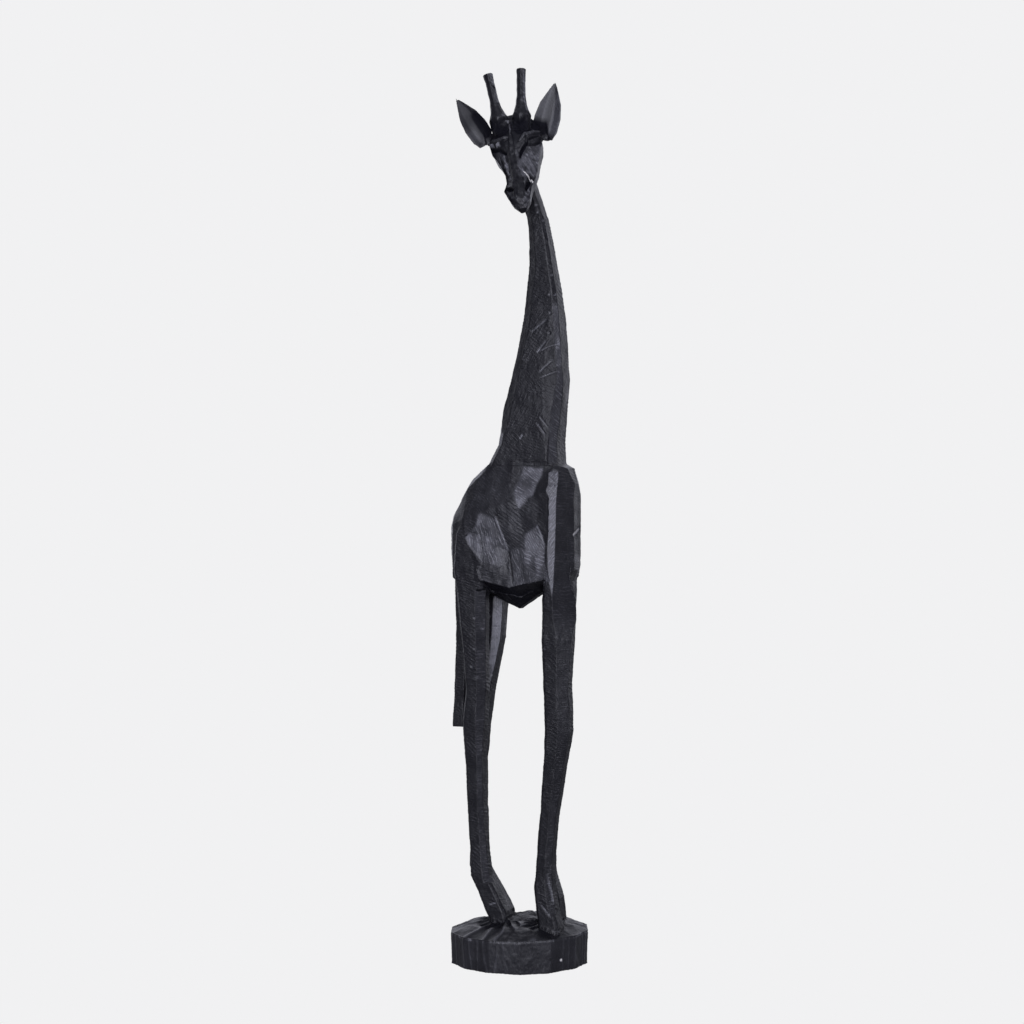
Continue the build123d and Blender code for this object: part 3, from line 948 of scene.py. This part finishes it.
def stained_wood():
    """Near-black stain over close-grained wood: lighter where the tool or handling rubbed it and where
    highlights are painted, darker where shade is painted.
    """
    material, kit, shader = new_material("black_stained_wood")
    place = kit.add("ShaderNodeTexCoord").outputs["Object"]
    marks = tool_marks(kit, place)
    wear_and_painted_light = kit.attribute("wear_and_painted_light")
    cloud = kit.noise(place, 42.0, 4.0, 0.6)
    fine = kit.noise(place, 900.0, 2.0)
    # Painted highlight along sharp edges.
    painted_edge_highlight = kit.span(kit.add("ShaderNodeNewGeometry").outputs["Pointiness"], 0.54, 0.64)
    # The tool marks show as lighter lines in the colour, as rubbed stain and painted glints.
    rub_and_painted_light = kit.maths("MULTIPLY", wear_and_painted_light, kit.maths("MULTIPLY_ADD", marks, 0.9, 0.26))
    light = kit.maths("ADD", rub_and_painted_light, kit.maths("MULTIPLY", marks, 0.06))
    light = kit.maths("ADD", light, kit.maths("MULTIPLY", painted_edge_highlight, 0.22))
    light = kit.maths("ADD", light, kit.maths("MULTIPLY", kit.span(fine, 0.5, 0.8), 0.06))
    light = kit.maths("MULTIPLY", light, kit.span(cloud, 0.25, 0.75, 0.55, 1.35))
    tone = kit.blend(kit.maths("MAXIMUM", light, 0.0), STAIN, RUBBED_AND_LIT)
    kit.put(shader.inputs["Base Color"], kit.blend(kit.span(wear_and_painted_light, 3.5, 7.0), tone, BARE_AND_GLINT))
    kit.put(shader.inputs["Roughness"], kit.span(cloud, 0.2, 0.8, 0.3, 0.5))
    # The specular level drops where the value is below zero, deepening the painted shade.
    gloss = kit.maths("MINIMUM", kit.maths("MULTIPLY_ADD", wear_and_painted_light, 0.3, 0.5), 0.6)
    kit.put(shader.inputs["Specular IOR Level"], kit.maths("MAXIMUM", gloss, 0.02))
    ridges = kit.add("ShaderNodeBump", Strength=0.6, Distance=0.0005, Height=marks)
    pores = kit.add("ShaderNodeBump", Strength=0.3, Distance=0.0004, Height=fine)
    kit.put(pores.inputs["Normal"], ridges.outputs["Normal"])
    kit.put(shader.inputs["Normal"], pores.outputs["Normal"])
    return material


def plain_hardwood():
    """Pale dowel wood, hidden inside the joints."""
    material, kit, shader = new_material("dowel_hardwood")
    grain = kit.noise(kit.add("ShaderNodeTexCoord").outputs["Object"], 300.0, 3.0)
    kit.put(shader.inputs["Base Color"], kit.blend(grain, DOWEL_DARK, DOWEL_PALE))
    shader.inputs["Roughness"].default_value = 0.6
    return material


wood = stained_wood()
for piece in pieces:
    piece.data.materials.clear()
    piece.data.materials.append(wood)
    piece.data.polygons.foreach_set("material_index", [0] * len(piece.data.polygons))
    piece.data.shade_smooth()
    piece.data.set_sharp_from_angle(angle=math.radians(42))
    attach(piece, "root")
    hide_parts(piece.name.removeprefix("carved_"))

hardwood = plain_hardwood()
for name in DOWELS:
    nodes[name].data.materials.clear()
    nodes[name].data.materials.append(hardwood)

# ---- floor, light and camera ---------------------------------------------------------------------
PALE = 0.88  # linear brightness of the floor and the backdrop as the camera sees them
PALE_COLOUR = (1, 1, 1.01, 1)
FLOOR_ALBEDO = (0.28, 0.28, 0.28, 1)
FLOOR = 4.0  # metres from the middle to each side
FLOOR_DROP = 0.0005  # keeps the floor off the plinth's underside
LIGHT_COLOUR = (0.96, 0.97, 1.1, 1)
AMBIENT = 0.12
KEY_AZIMUTH = -68
KEY_RISE = 0.12
# Soft lights of the studio: direction they come from, where they start and are full, and strength.
LIGHTS = [
    (heading(KEY_AZIMUTH) + np.array([0, 0, KEY_RISE]), 0.76, 0.97, 3.1),
    (-heading(CAMERA_AZIMUTH), 0.2, 0.9, 0.75),
    (np.array([0, 0, 1]), 0.5, 0.95, 0.22),
]


def floor_material():
    """Even and pale to the camera, dull grey to the light that falls back on the statue."""
    material = bpy.data.materials.new("pale_floor")
    material.use_nodes = True
    kit = Tree(material.node_tree)
    kit.tree.nodes.clear()
    seen = kit.add("ShaderNodeEmission", Color=PALE_COLOUR, Strength=PALE)
    dull = kit.add("ShaderNodeBsdfDiffuse", Color=FLOOR_ALBEDO)
    kit.add("ShaderNodeOutputMaterial", Surface=kit.camera_switch(dull, seen))
    return material


def lay_floor():
    """A level square below the plinth."""
    mesh = bpy.data.meshes.new("floor")
    corners = [(-FLOOR, -FLOOR, 0), (FLOOR, -FLOOR, 0), (FLOOR, FLOOR, 0), (-FLOOR, FLOOR, 0)]
    mesh.from_pydata(corners, [], [(0, 1, 2, 3)])
    mesh.materials.append(floor_material())
    floor = new_object("floor", mesh)
    floor.location.z = -FLOOR_DROP


def light_studio():
    """A sky of soft lights for the statue, and an even pale backdrop for the camera."""
    world = bpy.data.worlds.new("studio")
    bpy.context.scene.world = world
    world.use_nodes = True
    kit = Tree(world.node_tree)
    kit.tree.nodes.clear()
    rays = kit.add("ShaderNodeTexCoord").outputs["Generated"]
    strength = AMBIENT
    for direction, start, full, most in LIGHTS:
        near = kit.dot(rays, Vector(direction).normalized())
        strength = kit.maths("ADD", kit.span(near, start, full, 0.0, most), strength)
    lit = kit.add("ShaderNodeBackground", Color=LIGHT_COLOUR, Strength=strength)
    seen = kit.add("ShaderNodeBackground", Color=PALE_COLOUR, Strength=PALE)
    kit.add("ShaderNodeOutputWorld", Surface=kit.camera_switch(lit, seen))


def place_camera():
    """Level camera that faces the giraffe's right side, at the photograph's angle."""
    toward = heading(CAMERA_AZIMUTH)
    right = np.array([-toward[1], toward[0], 0.0])
    spot = toward * CAMERA_DISTANCE + right * CAMERA_ASIDE
    camera = new_object("camera", bpy.data.cameras.new("camera"))
    camera.location = (spot[0] * MM, spot[1] * MM, CAMERA_HEIGHT * MM)
    camera.rotation_euler = Vector(-toward).to_track_quat("-Z", "Y").to_euler()
    camera.data.lens = CAMERA_LENS
    camera.data.sensor_width = CAMERA_SENSOR
    bpy.context.scene.camera = camera
    bpy.context.scene.view_settings.view_transform = "Standard"


lay_floor()
light_studio()
place_camera()
